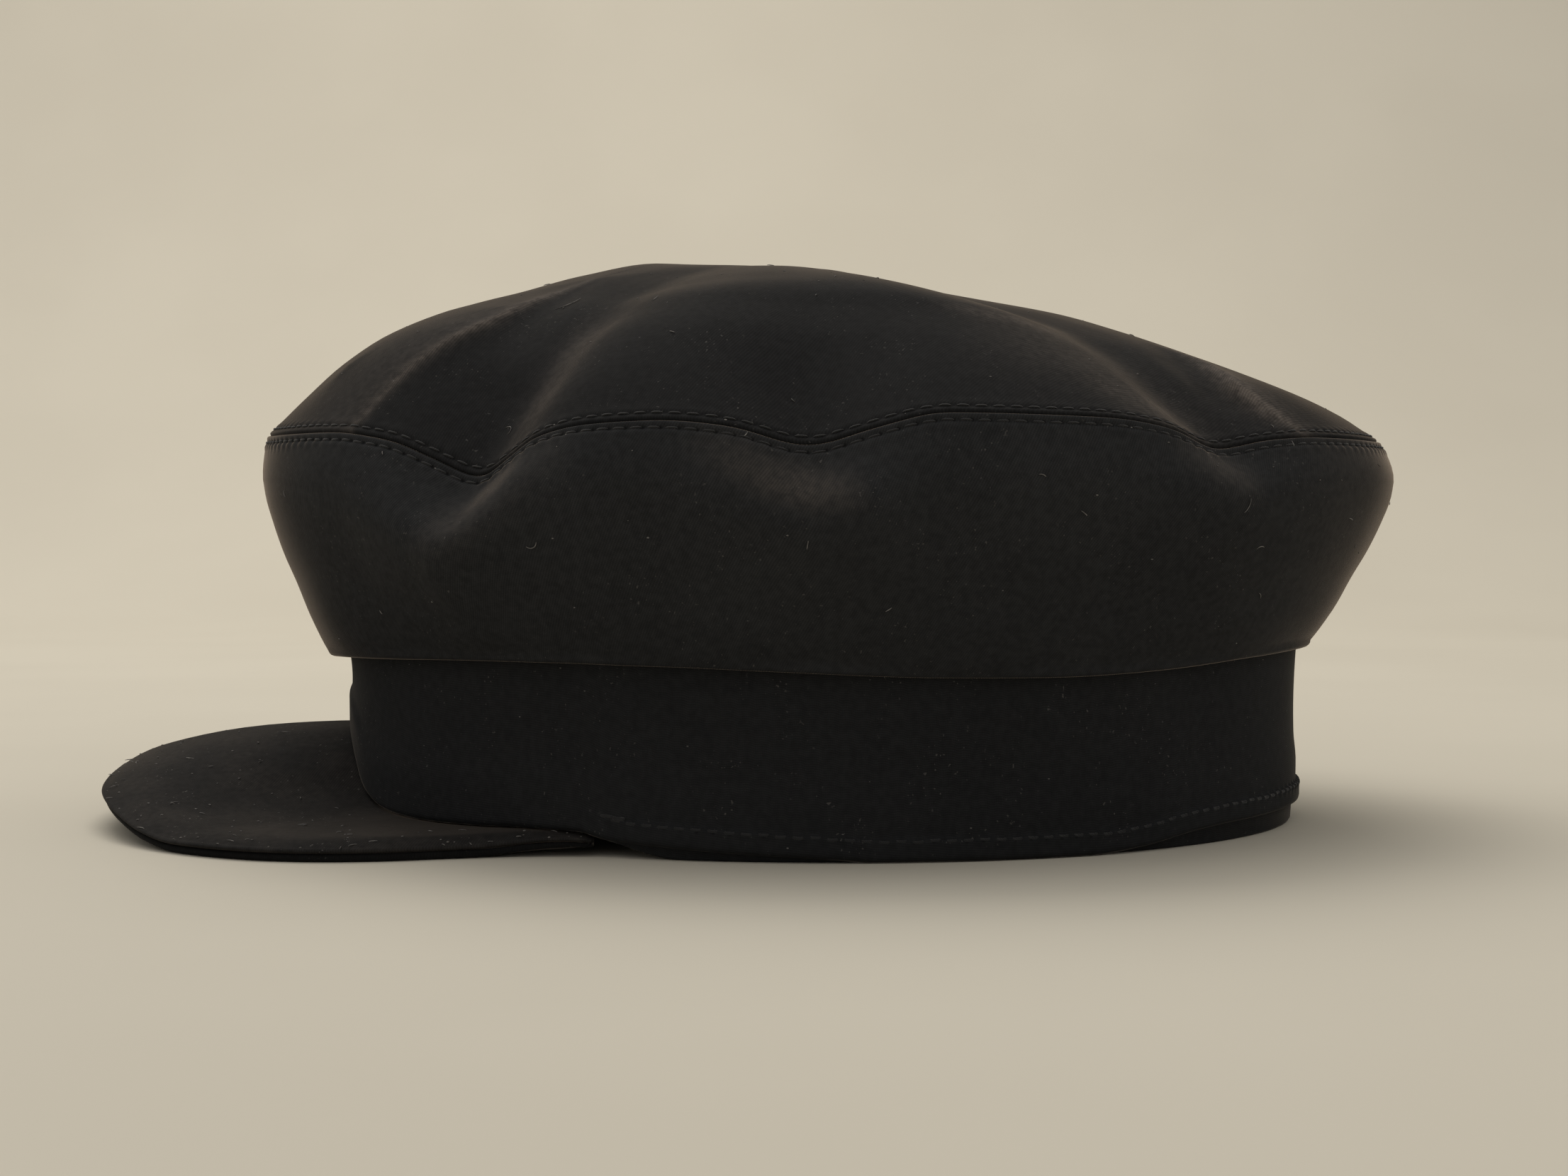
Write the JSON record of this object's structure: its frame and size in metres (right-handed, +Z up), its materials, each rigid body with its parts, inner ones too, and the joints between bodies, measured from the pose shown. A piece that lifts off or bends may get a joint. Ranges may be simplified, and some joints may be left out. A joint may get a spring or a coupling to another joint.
{
  "type": "sailor cap",
  "caption": "Soft black cloth sailor cap with a domed, flared crown, an upright headband and a short curved peak.",
  "frame": {"origin": "middle of the bounding box in plan, on the surface the cap rests on", "axes": "+Z up as the cap rests, -Y to the front where the peak points, +X to the wearer's left"},
  "size_m": [0.2062, 0.2722, 0.1183],
  "materials": {
    "crown_cloth": "matte black fine twill with a faint warm sheen",
    "band_cloth": "matte black fine twill",
    "peak_cloth": "matte black fine twill with a faint warm sheen",
    "under_cloth": "matte black cloth"
  },
  "bodies": {
    "root": {"crown_top": "crown_cloth", "crown_side": "crown_cloth", "band": "band_cloth", "peak_upper": "peak_cloth", "peak_under": "under_cloth"}
  },
  "joints": []
}
